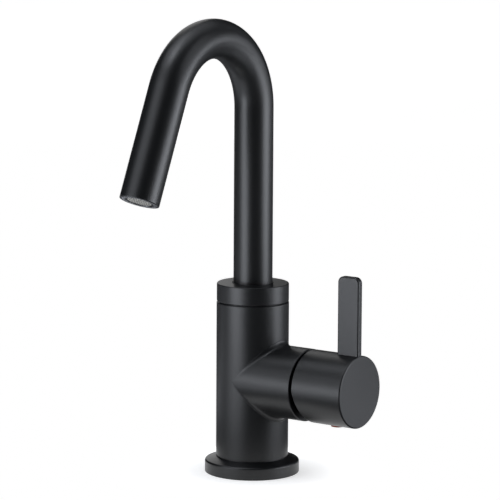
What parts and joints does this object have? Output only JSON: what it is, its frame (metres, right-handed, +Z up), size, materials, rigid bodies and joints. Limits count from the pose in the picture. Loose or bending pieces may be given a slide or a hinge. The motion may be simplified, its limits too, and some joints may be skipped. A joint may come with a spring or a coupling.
{
  "type": "single-lever basin mixer",
  "caption": "Single-lever basin mixer: round body on a flange, tall swivelling gooseneck spout with aerator, and a side handle with an upright blade that tilts and turns.",
  "frame": {"origin": "centre of the round base, on the deck that the mixer stands on", "axes": "+Z up along the body's axis; the spout reaches forward to -Y, over the basin; the handle's axis is +X, at the right of a user who faces +Y"},
  "size_m": [0.1027, 0.1452, 0.2667],
  "materials": {
    "matte_black": "matte black powder coat on cast brass and zinc",
    "black_rubber": "moulded black EPDM rubber",
    "black_acetal": "moulded black acetal, matt",
    "acetal": "moulded white acetal, matt",
    "brass": "turned brass",
    "steel": "turned stainless steel",
    "dark_grey_plastic": "moulded dark grey plastic",
    "light_grey_plastic": "moulded light grey plastic",
    "ceramic": "lapped white alumina ceramic",
    "blue_plastic": "moulded blue plastic",
    "red_plastic": "moulded red plastic"
  },
  "bodies": {
    "body": {"body": "matte_black", "base_flange": "matte_black", "base_seal": "black_rubber", "collar_slip_ring": "black_acetal", "spout_stop_screw": "steel", "port_seals": "black_rubber", "cartridge_base": "acetal", "fixed_disc": "ceramic", "cartridge_housing": "acetal", "mix_stop_ring": "red_plastic", "cartridge_nut": "brass", "dome_cap": "matte_black"},
    "spout": {"spout_tube": "matte_black", "spout_collar": "matte_black", "tube_foot_seal": "black_rubber", "spout_shank": "brass", "upper_o_ring": "black_rubber", "lower_o_ring": "black_rubber", "upper_bearing_ring": "acetal", "lower_bearing_ring": "acetal", "aerator_bush": "steel", "aerator_seal": "black_rubber", "aerator_shell": "dark_grey_plastic", "aerator_face": "light_grey_plastic", "aerator_core": "light_grey_plastic", "aerator_screen": "light_grey_plastic"},
    "rotor": {"cartridge_rotor": "acetal", "pivot_pin": "steel"},
    "lever": {"lever_handle": "matte_black", "lever_stem": "brass", "handle_set_screw": "steel", "index_button": "red_plastic"},
    "disc": {"moving_disc": "ceramic", "disc_driver": "blue_plastic"}
  },
  "joints": [
    {"name": "spout_swivel", "type": "hinge", "parent": "body", "child": "spout", "pos_m": [0, 0, 0.1004], "axis": [0, 0, 1], "range_deg": [-60, 60]},
    {"name": "lever_turn", "type": "hinge", "parent": "body", "child": "rotor", "pos_m": [0.0284, 0, 0.0556], "axis": [1, 0, 0], "range_deg": [-45, 45]},
    {"name": "lever_tilt", "type": "hinge", "parent": "rotor", "child": "lever", "pos_m": [0.0284, 0, 0.0556], "axis": [0, 1, 0], "range_deg": [0, 20]},
    {"name": "disc_slide", "type": "slide", "parent": "rotor", "child": "disc", "axis": [0, 0, 1], "range_m": [0, 0.0027]}
  ],
  "couplings": [
    {"joint": "disc_slide", "follows": "lever_tilt", "m_per_rad": 0.00733}
  ]
}
